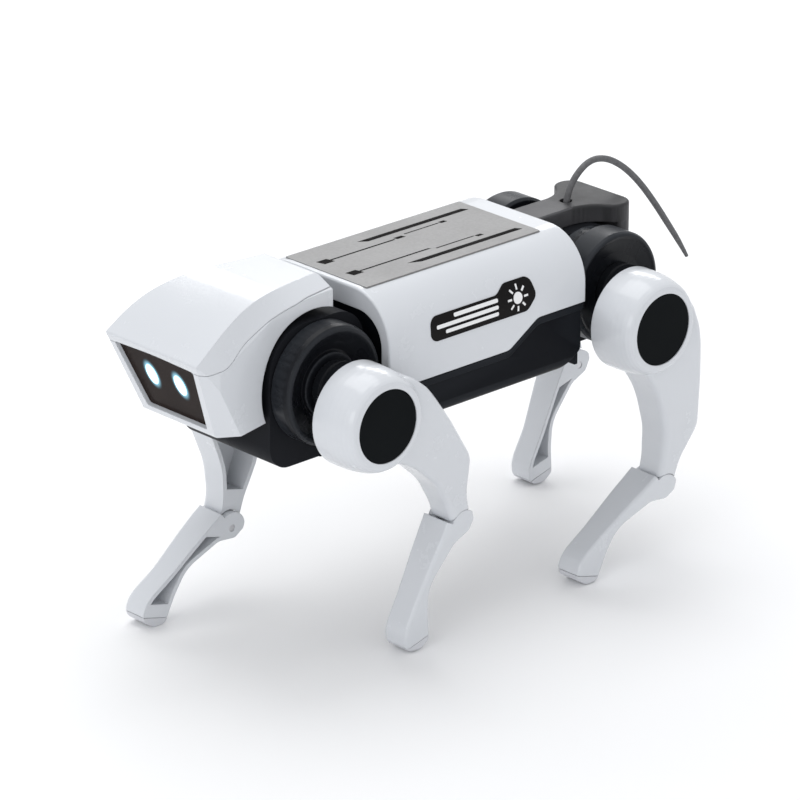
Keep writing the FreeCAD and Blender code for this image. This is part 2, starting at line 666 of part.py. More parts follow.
def meshing_angle(angle, teeth, direction, other_teeth):
    """Tooth direction of the gear that meshes with one whose tooth is at angle."""
    offset = angle - direction
    gap = direction + math.pi - offset * teeth / other_teeth
    return gap + math.pi / other_teeth


def drive_gears(hip_y):
    cy, cz = compound_place(hip_y)
    crank_angle = math.pi / 2
    toward_compound = math.atan2(cz + CRANK_DROP, cy)
    compound_angle = meshing_angle(crank_angle, CRANK_TEETH, toward_compound, COMPOUND_SMALL_TEETH)
    toward_pinion = math.atan2(MOTOR_RISE - cz, -cy)
    pinion_angle = meshing_angle(compound_angle, COMPOUND_BIG_TEETH, toward_pinion, PINION_TEETH)

    crank = gear(CRANK_TEETH, 5.2, 7.2, 0, -CRANK_DROP, crank_angle, 0)
    crank = crank.fuse(rod_x(CRANK_SHAFT_R, -12.0, 12.0, 0, -CRANK_DROP))
    for hand in (-1, 1):
        disc_x = (10.6, 12.0) if hand > 0 else (-12.0, -10.6)
        pin_x = (12.0, 13.4) if hand > 0 else (-13.4, -12.0)
        crank = crank.fuse(rod_x(5.6, disc_x[0], disc_x[1], 0, -CRANK_DROP))
        crank = crank.fuse(rod_x(1.2, pin_x[0], pin_x[1], hand * CRANK_THROW, -CRANK_DROP))

    bore = AXLE_R + RUNNING_FIT
    compound = gear(COMPOUND_BIG_TEETH, 8.0, 10.0, cy, cz, compound_angle, bore)
    compound = compound.fuse(gear(COMPOUND_SMALL_TEETH, 5.0, 8.0, cy, cz, compound_angle, bore))
    pinion = gear(PINION_TEETH, 7.8, 10.2, 0, MOTOR_RISE, pinion_angle, 0.75)
    parts = [crank, compound, pinion]
    for part in parts:
        part.translate(V(0, hip_y, HIP_Z))
    return parts


def motor():
    can = rod_x(MOTOR_R, MOTOR_X[0], MOTOR_X[1]).common(
        box(-40, 40, -20, 20, -MOTOR_FLAT, MOTOR_FLAT))
    boss = rod_x(2.6, MOTOR_X[1], MOTOR_X[1] + 1.2)
    return can.fuse(boss)


def motor_shaft():
    return rod_x(0.7, MOTOR_X[1] + 1.2, 10.2)


def gear_axle(hip_y):
    cy, cz = compound_place(hip_y)
    return rod_x(AXLE_R, 2.4, 10.9, hip_y + cy, HIP_Z + cz)


def rear_top_cover():
    """T-shaped rear bracket: a narrow spine that flares into a tall cross-beam."""
    y0 = BODY_REAR_Y + GAP
    plan = rounded_wire([
        (-6.6, y0), (6.6, y0), (6.6, 72.0, 14), (15.6, 78.4, 5), (15.9, 87.0, 5.5),
        (-15.9, 87.0, 5.5), (-15.6, 78.4, 5), (-6.6, 72.0, 14)])
    block = prism_z(plan, HIP_Z + REAR_BOX_Z[1] + 0.2, 122.6)
    beam_side = rounded_wire([(78.9, 106.0, 2), (86.6, 107.5, 3), (87.0, 122.6), (78.9, 122.6)])
    beam = prism_x(beam_side, -15.6, 15.6).common(prism_z(plan, 100, 122.6))
    cover = block.fuse(beam)
    top_edges = [edge for edge in cover.Edges
                 if edge.BoundBox.ZMin > 122.5 and edge.BoundBox.YMin > y0 - 0.1
                 and edge.BoundBox.YMax > y0 + 0.5]
    cover = cover.makeFillet(0.9, top_edges)
    for x0 in (-20.0, REAR_BOX_W - 0.9):
        cover = cover.cut(rod_x(REAR_DRUM_NECK_R + 0.5, x0, x0 + 9.0, HIP_Y, HIP_Z))
    return cover.cut(rod_z(TAIL_HOLE_R, 118.0, 130.0, 0, TAIL_ROUTE[0][0]))


TAIL_HOLE_R = 2.2
TAIL_ROUTE = [
    # (y, z) points of the springy wire tail, from its socket to its tip
    (69.0, 118.4), (69.2, 124.2), (73.4, 130.6), (80.2, 134.6), (88.0, 133.6), (96.2, 128.8),
    (104.4, 121.2), (112.4, 111.4), (119.8, 101.2), (125.4, 93.4), (129.2, 87.4)]


def tail():
    points = [V(0, y, z) for y, z in TAIL_ROUTE]
    edges = []
    start = points[0]
    radii = []
    for i in range(1, len(points) - 1):
        here = points[i]
        back = (points[i - 1] - here)
        ahead = (points[i + 1] - here)
        turn = math.pi - back.getAngle(ahead)
        radius = 0.45 * min(back.Length, ahead.Length) / math.tan(turn / 2)
        radii.append(round(radius, 1))
        reach = radius * math.tan(turn / 2)
        enter = here + V(back).normalize() * reach
        leave = here + V(ahead).normalize() * reach
        bisector = (V(back).normalize() + V(ahead).normalize()).normalize()
        centre = here + bisector * (radius / math.cos(turn / 2))
        middle = centre + (here - centre).normalize() * radius
        edges.append(Part.LineSegment(start, enter).toShape())
        edges.append(Part.Arc(enter, middle, leave).toShape())
        start = leave
    edges.append(Part.LineSegment(start, points[-1]).toShape())
    path = Part.Wire(edges)
    section = Part.Wire([Part.Circle(points[0], V(0, points[1].y - points[0].y,
                                                  points[1].z - points[0].z), TAIL_R).toShape()])
    tube = path.makePipeShell([section], True, False)
    print("tail radii", radii, "length", round(path.Length, 2),
          "volume ratio", round(tube.Volume / (math.pi * TAIL_R ** 2 * path.Length), 4))
    return tube


# ---- legs (drawn as the left leg, hip axis at the origin) -----------------------
def thigh_blade_wire():
    return rounded_wire([
        (-12.0, -4.0, 3), (0.0, 2.0, 6), (14.5, 3.0, 10), (22.0, -7.0, 20), (29.5, -24.5, 60),
        (36.2, -43.0, 9), (32.6, -56.0, 30), (31.6, -70.0), (23.6, -70.0), (23.6, -58.0, 20),
        (20.6, -46.8, 22), (11.0, -32.0, 40), (-4.0, -21.0, 6)])


def outer_slope(offset):
    """Front view (x, z) of the thigh blade between its inner and outer faces."""
    return rounded_wire([
        (THIGH_RIM_X, 14.0), (THIGH_RIM_X, -18.0, 40), (34.4, -52.0, 30), (34.2, -75.0),
        (44.2 - offset, -75.0), (44.6 - offset, -56.0, 60), (50.4 - offset, -14.0, 30),
        (50.8 - offset, 14.0)])


def outer_face_edges(shape, low_x):
    """Edges where the outward face of a blade meets its side walls."""
    found = []
    for edge in shape.Edges:
        if edge.BoundBox.XMin < low_x:
            continue
        facing = 0
        for face in shape.ancestorsOfType(edge, Part.Face):
            u0, u1, v0, v1 = face.ParameterRange
            if abs(face.normalAt((u0 + u1) / 2, (v0 + v1) / 2).x) > 0.5:
                facing += 1
        if facing == 1:
            found.append(edge)
    return found


def thigh_head():
    """Domed round head of the thigh, about its own centre below the hip axis."""
    rim_x, face_x = THIGH_RIM_X, THIGH_FACE_X
    profile = [(rim_x, 0), (rim_x, THIGH_RIM_R), (rim_x + 4.0, THIGH_RIM_R)]
    steps = 8
    for i in range(1, steps + 1):
        t = math.pi / 2 * i / steps
        profile.append((rim_x + 4.0 + (face_x - rim_x - 4.0) * math.sin(t),
                        THIGH_FACE_R - 0.6 + (THIGH_RIM_R - THIGH_FACE_R + 0.6) * math.cos(t)))
    profile.append((face_x, 0))
    return revolve_x(profile, 0, THIGH_CENTRE_Z)


def thigh_shell():
    blade = prism_x(thigh_blade_wire(), 30, 56).common(prism_y(outer_slope(0), -60, 60))
    blade = blade.makeFillet(2.2, outer_face_edges(blade, 41.0))
    # knee: hollowed round the shin's top
    blade = blade.cut(rod_x(KNEE_R + GAP, 25, 60, KNEE[0], KNEE[1]))
    blade = blade.cut(box(25, 60, -20, 60, -90, KNEE[1] + 3.6))
    hollow = prism_x(inset(thigh_blade_wire(), WALL), 28, 60).common(
        prism_y(outer_slope(WALL), -60, 60).fuse(box(28, 36.5, -60, 60, -80, 20)))
    hollow = hollow.common(box(0, 60, -60, 60, -54.0, -9.0))
    room_r = THIGH_RIM_R - WALL
    head_room = revolve_x([
        (20, 0), (20, room_r), (THIGH_RIM_X + 5, room_r), (THIGH_FACE_X - 5, THIGH_FACE_R - WALL),
        (THIGH_FACE_X - 2.4, THIGH_FACE_R - 4.0), (THIGH_FACE_X - 2.4, 0)], 0, THIGH_CENTRE_Z)
    recess = rod_x(CAP_R + 0.05, THIGH_FACE_X - 0.9, 60, 0, THIGH_CENTRE_Z)
    shell = thigh_head().fuse(blade).cut(head_room.fuse(hollow)).cut(recess)
    # bush that carries the hub, centred on the hip axis
    bush = rod_x(4.6, 40.0, THIGH_FACE_X - 1.8).cut(rod_x(HUB_SHAFT_R + 0.02, 30, THIGH_FACE_X - 3.4))
    # tongue on the knee pin
    x0, x1 = KNEE_SLOT_X
    tongue = rod_x(3.3, x0 + 0.3, x1 - 0.3, KNEE[0], KNEE[1])
    neck = box(x0 + 0.3, x1 - 0.3, KNEE[0] - 2.2, KNEE[0] + 2.2, KNEE[1], KNEE[1] + 9)
    shell = shell.fuse(bush).fuse(tongue.fuse(neck))
    return shell.cut(rod_x(KNEE_PIN_R + RUNNING_FIT, 25, 60, KNEE[0], KNEE[1]))


def thigh_cap():
    disc = revolve_x([(THIGH_FACE_X - 0.85, 0), (THIGH_FACE_X - 0.85, CAP_R), (THIGH_FACE_X - 0.35, CAP_R),
                      (THIGH_FACE_X - 0.1, CAP_R - 0.4), (THIGH_FACE_X - 0.1, 0)], 0, THIGH_CENTRE_Z)
    return disc


def hip_hub(face_x):
    """Hub between drum and thigh, with its shaft and the rocker that the crank drives."""
    hub = revolve_x([
        (face_x - 1.3, 0), (face_x - 1.3, 9.0), (face_x - 0.9, HUB_R), (face_x + 2.0, HUB_R),
        (face_x + 2.3, HUB_R - 0.5), (face_x + 2.7, HUB_R - 0.5), (face_x + 3.0, HUB_R),
        (THIGH_RIM_X, HUB_R), (THIGH_RIM_X, 6.0), (THIGH_RIM_X + 3.5, 6.0),
        (THIGH_RIM_X + 3.5, 0)])
    stub = rod_x(HUB_SHAFT_R, SHAFT_END_X, face_x)
    key = rod_x(HUB_SHAFT_R, THIGH_RIM_X, THIGH_FACE_X - 3.6)
    x0, x1 = ROCKER_X
    arm = rod_x(4.4, x0, x1).fuse(box(x0, x1, -2.4, 2.4, -ROCKER_LEN, 0))
    arm = arm.fuse(rod_x(2.4, x0, x1, 0, -ROCKER_LEN - 0.4))
    arm = arm.cut(box(x0 - 1, x1 + 1, -1.25, 1.25, -ROCKER_LEN - 1.0, -ROCKER_LEN + 3.4))
    return hub.fuse(stub).fuse(key).fuse(arm)


def shin_wire():
    return rounded_wire([
        (KNEE[0] - 3.2, KNEE[1] + 8.0), (KNEE[0] + 5.2, KNEE[1] + 8.0), (33.2, -67.0, 2),
        (30.2, -70.4, 3), (23.0, -71.6, 6), (10.6, -80.8, 14), (7.4, -90.0, 30),
        (6.2, -95.5), (5.4, -99.6, 2.5), (1.0, -101.0, 4.0), (-5.4, -99.0, 4.0), (-4.6, -93.2, 6),
        (-2.6, -90.0, 10), (4.0, -83.0, 30), (14.0, -71.0, 30)])


def shin_front_wire(offset):
    """Front view (x, z) of the shin: the outer face leans in towards the foot."""
    x0, x1 = SHIN_X
    return rounded_wire([
        (x0, -50), (x0, -110), (x1 - 1.2 - offset, -110), (x1 - 1.6 - offset, -84.0, 40),
        (x1 + 0.6 - offset, -66.0, 20), (x1 + 0.6 - offset, -50)])


def shin_parts():
    solid = prism_x(shin_wire(), 28, 48).common(prism_y(shin_front_wire(0), -60, 60))
    solid = solid.makeFillet(SHIN_ROUND, outer_face_edges(solid, 39.0))
    # rounded top about the knee pin; in front the shin's wall stands up to the thigh as a stop
    upper = box(20, 60, 0, 60, KNEE[1], -40).cut(rod_x(KNEE_R, 10, 70, KNEE[0], KNEE[1]))
    front_stop = box(20, 60, -30, 0, -40, 0)
    front_stop.rotate(V(0, 0, 0), V(1, 0, 0), SHIN_STOP_ANGLE - 180.0)
    front_stop.translate(V(0, KNEE[0], KNEE[1]))
    solid = solid.cut(upper.cut(front_stop))
    x0, x1 = KNEE_SLOT_X
    slot = rod_x(KNEE_R + 0.8, x0, x1, KNEE[0], KNEE[1])
    channel = prism_x(inset(shin_wire(), 1.5), 20, 60).common(
        prism_y(shin_front_wire(1.7), -60, 60).fuse(box(20, 32, -60, 60, -120, -40)))
    channel = channel.common(box(20, 60, -60, 24.0, -93.0, -70.0))
    solid = solid.cut(slot).cut(channel)
    solid = solid.cut(rod_x(KNEE_PIN_R, SHIN_X[0] - 2, SHIN_X[1] - 1.2, KNEE[0], KNEE[1]))
    sole_cut = box(20, 60, -30, 30, -120, SOLE_Z)
    shin = solid.cut(sole_cut)
    sole = solid.common(box(20, 60, -30, 30, -120, SOLE_Z - 0.15))
    return shin, sole


def knee_pin():
    return rod_x(KNEE_PIN_R, SHIN_X[0] + 0.2, SHIN_X[1] - 1.3, KNEE[0], KNEE[1])


def place_leg(shape, hand, hip_y, swing):
    """Turn a leg piece about the hip axis (positive swings the foot rearward) and set it."""
    copy = shape.copy() if hand > 0 else mirror_x(shape)
    copy.rotate(V(0, 0, 0), V(1, 0, 0), swing)
    copy.translate(V(0, hip_y, HIP_Z))
    return copy


# ---- build everything ------------------------------------------------------------
def build_body():
    save("body_shell", body_shell())
    save("solar_panel", solar_panel())
    save("panel_traces", *panel_traces())
    save("side_badges", *both_sides(side_badge()))
    marks = []
    for mark in badge_marks():
        marks.extend(both_sides(mark))
    save("badge_marks", *marks)
    save("chassis_tray", chassis_tray())
    save("battery_door", battery_door())
    save("battery_cells", *battery_cells())
    save("battery_contacts", *battery_contacts())
    save("circuit_board", circuit_board())
    save("power_switch_slider", power_switch())
    save("chassis_screws", *chassis_screws())


def build_head():
    top, side = head_parts()
    save("head_top_shell", top)
    save("head_side_shell", side)
    save("face_plate", face_plate())
    save("eye_lenses", *eye_lenses())
    save("eye_board", eye_board())


def build_drive():
    front_bosses = [(-12.0, -22.0), (2.0, -24.0), (14.0, -20.0)]
    rear_bosses = [(-12.0, -19.0), (8.0, -19.0)]
    gearboxes = (
        ("front", -HIP_Y, FRONT_BOX_W, FRONT_BOX_Y, FRONT_BOX_Z, FRONT_BOX_R, front_bosses),
        ("rear", HIP_Y, REAR_BOX_W, REAR_BOX_Y, REAR_BOX_Z, REAR_BOX_R, rear_bosses))
    axles = []
    for place, hip_y, half_width, y_span, z_span, upper_r, bosses in gearboxes:
        for hand, side in ((1, "left"), (-1, "right")):
            save(place + "_gearbox_" + side,
                 gearbox_half(half_width, y_span, z_span, upper_r, hand, hip_y, bosses))
            drum = front_drum() if place == "front" else rear_drum()
            save("hip_drum_" + place + "_" + side, place_drum(drum, hand, hip_y))
        crank, compound, pinion = drive_gears(hip_y)
        save(place + "_crank_gear", crank)
        save(place + "_compound_gear", compound)
        save(place + "_pinion", pinion)
        body = motor().fuse(motor_shaft())
        body.translate(V(0, hip_y, HIP_Z + MOTOR_RISE))
        save(place + "_motor", body)
        axles.append(gear_axle(hip_y))
    save("gear_axles", *axles)
    save("rear_top_cover", rear_top_cover())
    save("tail", tail())


def build_legs():
    thigh = thigh_shell()
    cap = thigh_cap()
    shin, sole = shin_parts()
    pin = knee_pin()
    for place, hip_y, face_x in (("front", -HIP_Y, DRUM_FACE_X), ("rear", HIP_Y, REAR_DRUM_FACE_X)):
        hub = hip_hub(face_x)
        for hand, side in ((1, "left"), (-1, "right")):
            swing = SWING if (place == "front") == (side == "left") else -SWING
            leg = place + "_" + side
            save("hip_hub_" + leg, place_leg(hub, hand, hip_y, swing))
            save("thigh_" + leg, place_leg(thigh, hand, hip_y, swing))
            save("thigh_cap_" + leg, place_leg(cap, hand, hip_y, swing))
            save("shin_" + leg, place_leg(shin, hand, hip_y, swing))
            save("foot_pad_" + leg, place_leg(sole, hand, hip_y, swing))
            save("knee_pin_" + leg, place_leg(pin, hand, hip_y, swing))


os.makedirs("parts", exist_ok=True)
build_body()
build_head()
build_drive()
build_legs()
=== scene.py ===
import json
import math

import bmesh
import bpy
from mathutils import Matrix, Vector


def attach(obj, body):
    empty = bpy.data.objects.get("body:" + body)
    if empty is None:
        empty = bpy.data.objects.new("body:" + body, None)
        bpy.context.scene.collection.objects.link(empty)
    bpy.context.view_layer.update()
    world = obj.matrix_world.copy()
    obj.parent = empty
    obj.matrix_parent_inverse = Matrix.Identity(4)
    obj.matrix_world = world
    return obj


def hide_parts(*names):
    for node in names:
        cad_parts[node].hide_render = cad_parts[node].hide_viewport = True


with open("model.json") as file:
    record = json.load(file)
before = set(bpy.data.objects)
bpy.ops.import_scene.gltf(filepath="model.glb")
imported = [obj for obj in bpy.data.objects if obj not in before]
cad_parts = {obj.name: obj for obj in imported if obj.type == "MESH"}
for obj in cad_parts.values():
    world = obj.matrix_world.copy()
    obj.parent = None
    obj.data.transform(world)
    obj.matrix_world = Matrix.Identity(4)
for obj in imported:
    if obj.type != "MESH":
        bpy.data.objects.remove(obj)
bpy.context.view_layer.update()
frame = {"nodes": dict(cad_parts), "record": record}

NODES = frame["nodes"]
MM = 0.001

# ---- the face, in metres: its brow and chin edges, the unit vector up it, and its eyes ----
BROW = Vector((0.0, -0.11573, 0.11577))
CHIN = Vector((0.0, -0.10403, 0.08737))
FACE_UP = (BROW - CHIN).normalized()
EYE_X = 0.0069
EYE_DROP = 0.0135
EYE_HALF = (0.0025, 0.0041)

# ---- camera: the fitted view from the robot's front left ----------------------------------
CAMERA_AZIMUTH = math.radians(46.902)
CAMERA_ELEVATION = math.radians(21.88)
CAMERA_DISTANCE = 1.74026
CAMERA_TARGET = Vector((-0.008884, 0.00127, 0.06387))
SENSOR_MM = 36.0
FOCAL_PIXELS = 5161.925
FRAME_PIXELS = 800.0


# ---- small node-tree helper -----------------------------------------------------------------
class Tree:
    """A material's node tree, with short calls for the nodes used here."""

    def __init__(self, name):
        self.material = bpy.data.materials.new(name)
        self.material.use_nodes = True
        self.nodes = self.material.node_tree.nodes
        self.links = self.material.node_tree.links
        self.shader = self.nodes["Principled BSDF"]
        self.place = self.nodes.new("ShaderNodeTexCoord").outputs["Object"]

    def set(self, socket, value):
        self.shader.inputs[socket].default_value = value

    def join(self, out, socket):
        self.links.new(out, socket)

    def feed(self, out, socket):
        self.links.new(out, self.shader.inputs[socket])

    def noise(self, scale, detail=3.0, stretch=(1, 1, 1), rough=0.5):
        mapping = self.nodes.new("ShaderNodeMapping")
        mapping.inputs["Scale"].default_value = stretch
        self.join(self.place, mapping.inputs["Vector"])
        node = self.nodes.new("ShaderNodeTexNoise")
        node.inputs["Scale"].default_value = scale
        node.inputs["Detail"].default_value = detail
        node.inputs["Roughness"].default_value = rough
        self.join(mapping.outputs["Vector"], node.inputs["Vector"])
        return node.outputs["Fac"]

    def span(self, value, low, high, source=(0.3, 0.7), smooth=False):
        node = self.nodes.new("ShaderNodeMapRange")
        if smooth:
            node.interpolation_type = "SMOOTHSTEP"
        node.inputs["From Min"].default_value = source[0]
        node.inputs["From Max"].default_value = source[1]
        node.inputs["To Min"].default_value = low
        node.inputs["To Max"].default_value = high
        self.join(value, node.inputs["Value"])
        return node.outputs["Result"]

    def math(self, kind, a, b=None):
        node = self.nodes.new("ShaderNodeMath")
        node.operation = kind
        for socket, value in zip(node.inputs, (a, b)):
            if value is None:
                continue
            if isinstance(value, (int, float)):
                socket.default_value = value
            else:
                self.join(value, socket)
        return node.outputs[0]

    def mix(self, factor, first, second):
        node = self.nodes.new("ShaderNodeMix")
        node.data_type = "RGBA"
        self.join(factor, node.inputs[0])
        for socket, value in ((node.inputs[6], first), (node.inputs[7], second)):
            if isinstance(value, tuple):
                socket.default_value = (*value, 1.0)
            else:
                self.join(value, socket)
        return node.outputs[2]

    def bump(self, height, strength, distance, normal=None):
        node = self.nodes.new("ShaderNodeBump")
        node.inputs["Strength"].default_value = strength
        node.inputs["Distance"].default_value = distance
        self.join(height, node.inputs["Height"])
        if normal is not None:
            self.join(normal, node.inputs["Normal"])
        return node.outputs["Normal"]

    def soft_edges(self, radius):
        node = self.nodes.new("ShaderNodeBevel")
        node.samples = 6
        node.inputs["Radius"].default_value = radius
        return node.outputs["Normal"]

    # Mask of convex edges by pointiness; it carries the painted edge highlight.
    def highlight_edge_mask(self, low=0.53, high=0.60):
        geometry = self.nodes.new("ShaderNodeNewGeometry")
        return self.span(geometry.outputs["Pointiness"], 0.0, 1.0, (low, high))


def shade(colour, factor):
    return tuple(min(1.0, channel * factor) for channel in colour)


def plastic(name, colour, rough, spread=0.05, tint=0.04, grain=0.0, grain_scale=2500.0,
            edge_highlight=None, soft=0.0003, coat=0.0, ior=1.46, specular=0.5):
    """Moulded plastic: faint colour drift, uneven gloss, fine surface grain, convex edges lightened as a
    painted highlight.
    """
    tree = Tree(name)
    drift = tree.noise(28.0, 4.0)
    base = tree.mix(tree.span(drift, 0.0, 1.0), shade(colour, 1.0 - tint), shade(colour, 1.0 + tint))
    # Convex edges mixed towards a lighter colour: a painted highlight along the edges.
    if edge_highlight is not None:
        base = tree.mix(tree.highlight_edge_mask(), base, edge_highlight)
    tree.feed(base, "Base Color")
    smear = tree.noise(75.0, 6.0, rough=0.65)
    tree.feed(tree.span(smear, rough - spread, rough + spread), "Roughness")
    normal = tree.soft_edges(soft)
    flow = tree.noise(18.0, 2.0)
    normal = tree.bump(flow, 0.04, 0.0006, normal)
    if grain > 0:
        normal = tree.bump(tree.noise(grain_scale, 3.0), grain, 0.00012, normal)
    tree.feed(normal, "Normal")
    tree.set("IOR", ior)
    tree.set("Specular IOR Level", specular)
    tree.set("Coat Weight", coat)
    tree.set("Coat Roughness", 0.08)
    return tree.material


def brushed_metal(name, colour, rough):
    """Metal with fine streaks along X."""
    tree = Tree(name)
    streaks = tree.noise(260.0, 5.0, (0.08, 1.0, 1.0))
    tree.feed(tree.mix(tree.span(streaks, 0, 1), shade(colour, 0.8), colour), "Base Color")
    tree.feed(tree.span(streaks, rough - 0.08, rough + 0.12), "Roughness")
    tree.feed(tree.bump(streaks, 0.15, 0.0001, tree.soft_edges(0.0002)), "Normal")
    tree.set("Metallic", 1.0)
    return tree.material


def eye_distance(tree):
    """Distance from the nearer eye's centre, in units of the eye's own half sizes."""
    split = tree.nodes.new("ShaderNodeSeparateXYZ")
    tree.join(tree.place, split.inputs[0])
    centre = BROW - FACE_UP * EYE_DROP
    across = tree.math("SUBTRACT", tree.math("ABSOLUTE", split.outputs[0]), EYE_X)
    across = tree.math("DIVIDE", across, EYE_HALF[0])
    up_y = tree.math("MULTIPLY", tree.math("SUBTRACT", split.outputs[1], centre.y), FACE_UP.y)
    up_z = tree.math("MULTIPLY", tree.math("SUBTRACT", split.outputs[2], centre.z), FACE_UP.z)
    along = tree.math("DIVIDE", tree.math("ADD", up_y, up_z), EYE_HALF[1])
    square = tree.math("ADD", tree.math("MULTIPLY", across, across), tree.math("MULTIPLY", along, along))
    return tree.math("SQRT", square)


def face_material():
    """Smoked plate with a painted glow round each eye: the eyes' bluish spill of light, as emission."""
    tree = Tree("smoked_face")
    drift = tree.noise(120.0, 4.0)
    smoke = tree.mix(tree.span(drift, 0, 1), (0.0150, 0.0095, 0.0080), (0.020, 0.0130, 0.0110))
    tree.feed(smoke, "Base Color")
    tree.feed(tree.span(tree.noise(90.0, 5.0), 0.16, 0.26), "Roughness")
    distance = eye_distance(tree)
    spill = tree.span(distance, 1.0, 0.0, (0.95, 1.75), smooth=True)
    spill = tree.math("POWER", spill, 2.4)
    # Painted glow: bluish emission on the plate, fading with distance from each eye.
    tree.feed(tree.mix(spill, (0.0, 0.0, 0.0), (0.34, 0.72, 0.92)), "Emission Color")
    tree.set("Emission Strength", 0.9)
    tree.set("IOR", 1.2)
    tree.set("Specular IOR Level", 0.15)
    return tree.material


def eye_material():
    """Lit lens: white in the middle, pale blue at the rim."""
    tree = Tree("lit_lens")
    distance = eye_distance(tree)
    rim = tree.span(distance, 0.0, 1.0, (0.55, 1.0), smooth=True)
    tree.feed(tree.mix(rim, (1.0, 1.0, 1.0), (0.40, 0.80, 1.0)), "Emission Color")
    tree.feed(tree.mix(rim, (0.95, 0.98, 1.0), (0.55, 0.80, 0.95)), "Base Color")
    tree.feed(tree.span(tree.noise(300.0), 0.12, 0.2), "Roughness")
    tree.set("Emission Strength", 1.25)
    return tree.material


CELL_PITCH = 0.0066     # strips across the panel, and the hairlines along it, in metres
FINGER_PITCH = 0.0012


def stripes(tree, place, pitch):
    """Falls to zero once every pitch along a direction."""
    wave = tree.math("SINE", tree.math("MULTIPLY", place, math.pi / pitch))
    return tree.math("ABSOLUTE", wave)


def panel_material():
    """Grey laminate over faint cell strips."""
    tree = Tree("panel_laminate")
    split = tree.nodes.new("ShaderNodeSeparateXYZ")
    tree.join(tree.place, split.inputs[0])
    strips = stripes(tree, split.outputs[1], CELL_PITCH)
    line = tree.span(strips, 1.0, 0.0, (0.0, 0.03))
    fingers = stripes(tree, split.outputs[0], FINGER_PITCH)
    hair = tree.span(fingers, 0.3, 0.0, (0.0, 0.12))
    cells = tree.math("MAXIMUM", line, hair)
    grain = tree.span(tree.noise(900.0, 4.0), 0, 1)
    grain = tree.mix(grain, (0.215, 0.213, 0.212), (0.245, 0.243, 0.242))
    tree.feed(tree.mix(tree.math("MULTIPLY", cells, 0.16), grain, (0.18, 0.18, 0.185)), "Base Color")
    tree.feed(tree.span(tree.noise(60.0, 5.0), 0.34, 0.44), "Roughness")
    tree.feed(tree.bump(tree.noise(1400.0, 2.0), 0.06, 0.0001, tree.soft_edges(0.0002)), "Normal")
    return tree.material


def tail_material():
    """Sleeved spring wire: fine turns wound along its length."""
    tree = Tree("sleeved_wire")
    wave = tree.nodes.new("ShaderNodeTexWave")
    wave.wave_type = "BANDS"
    wave.bands_direction = "DIAGONAL"
    wave.inputs["Scale"].default_value = 420.0
    wave.inputs["Distortion"].default_value = 1.5
    tree.join(tree.place, wave.inputs["Vector"])
    turns = wave.outputs["Fac"]
    fuzz = tree.noise(700.0, 4.0)
    base = tree.mix(tree.span(fuzz, 0, 1), (0.085, 0.085, 0.088), (0.135, 0.135, 0.14))
    tree.feed(base, "Base Color")
    tree.feed(tree.span(fuzz, 0.5, 0.62), "Roughness")
    tree.feed(tree.bump(turns, 0.25, 0.0001), "Normal")
    return tree.material


def board_material():
    """Circuit board with lighter tracks."""
    tree = Tree("circuit_board_green")
    tracks = tree.span(tree.noise(220.0, 1.0, (1, 3, 1)), 0.0, 1.0, (0.48, 0.52))
    tree.feed(tree.mix(tracks, (0.012, 0.085, 0.035), (0.03, 0.16, 0.07)), "Base Color")
    tree.feed(tree.span(tree.noise(90.0), 0.3, 0.45), "Roughness")
    tree.feed(tree.bump(tracks, 0.2, 0.0001), "Normal")
    return tree.material


WRAP_EDGE = (0.010, 0.0101)     # where the cells' wrap changes colour, along the robot


def cell_material():
    """Battery wrap in two colours."""
    tree = Tree("cell_wrap")
    split = tree.nodes.new("ShaderNodeSeparateXYZ")
    tree.join(tree.place, split.inputs[0])
    band = tree.span(split.outputs[1], 0.0, 1.0, WRAP_EDGE)
    base = tree.mix(band, (0.04, 0.05, 0.08), (0.55, 0.36, 0.08))
    tree.feed(base, "Base Color")
    tree.feed(tree.span(tree.noise(120.0, 4.0), 0.22, 0.34), "Roughness")
    return tree.material


